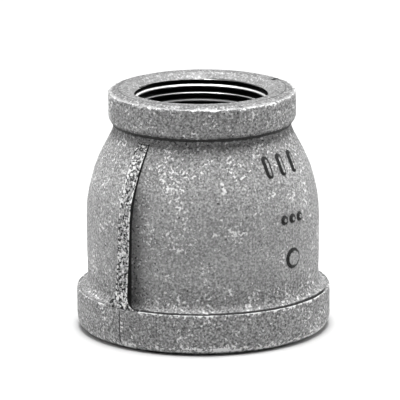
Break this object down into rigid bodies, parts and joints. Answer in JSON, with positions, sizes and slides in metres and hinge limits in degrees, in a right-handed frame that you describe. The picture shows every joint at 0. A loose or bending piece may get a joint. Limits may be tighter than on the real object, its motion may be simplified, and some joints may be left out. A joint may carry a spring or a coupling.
{
  "type": "concentric reducer",
  "caption": "Malleable-iron concentric reducing coupling with a rounded shoulder, banded ends, parting-line ribs and a female taper pipe thread in each end.",
  "frame": {"origin": "centre of the large end's face, which the fitting stands on", "axes": "+Z along the flow axis towards the small end; the mould's parting plane is XZ, with a rib at +X and at -X; the foundry marks face -Y"},
  "size_m": [0.0752, 0.0748, 0.0714],
  "materials": {
    "malleable_iron": "as cast, dull grey with a fine sandy grain; faced and threaded ends a little brighter"
  },
  "bodies": {
    "root": {"reducer_casting": "malleable_iron"}
  },
  "joints": []
}
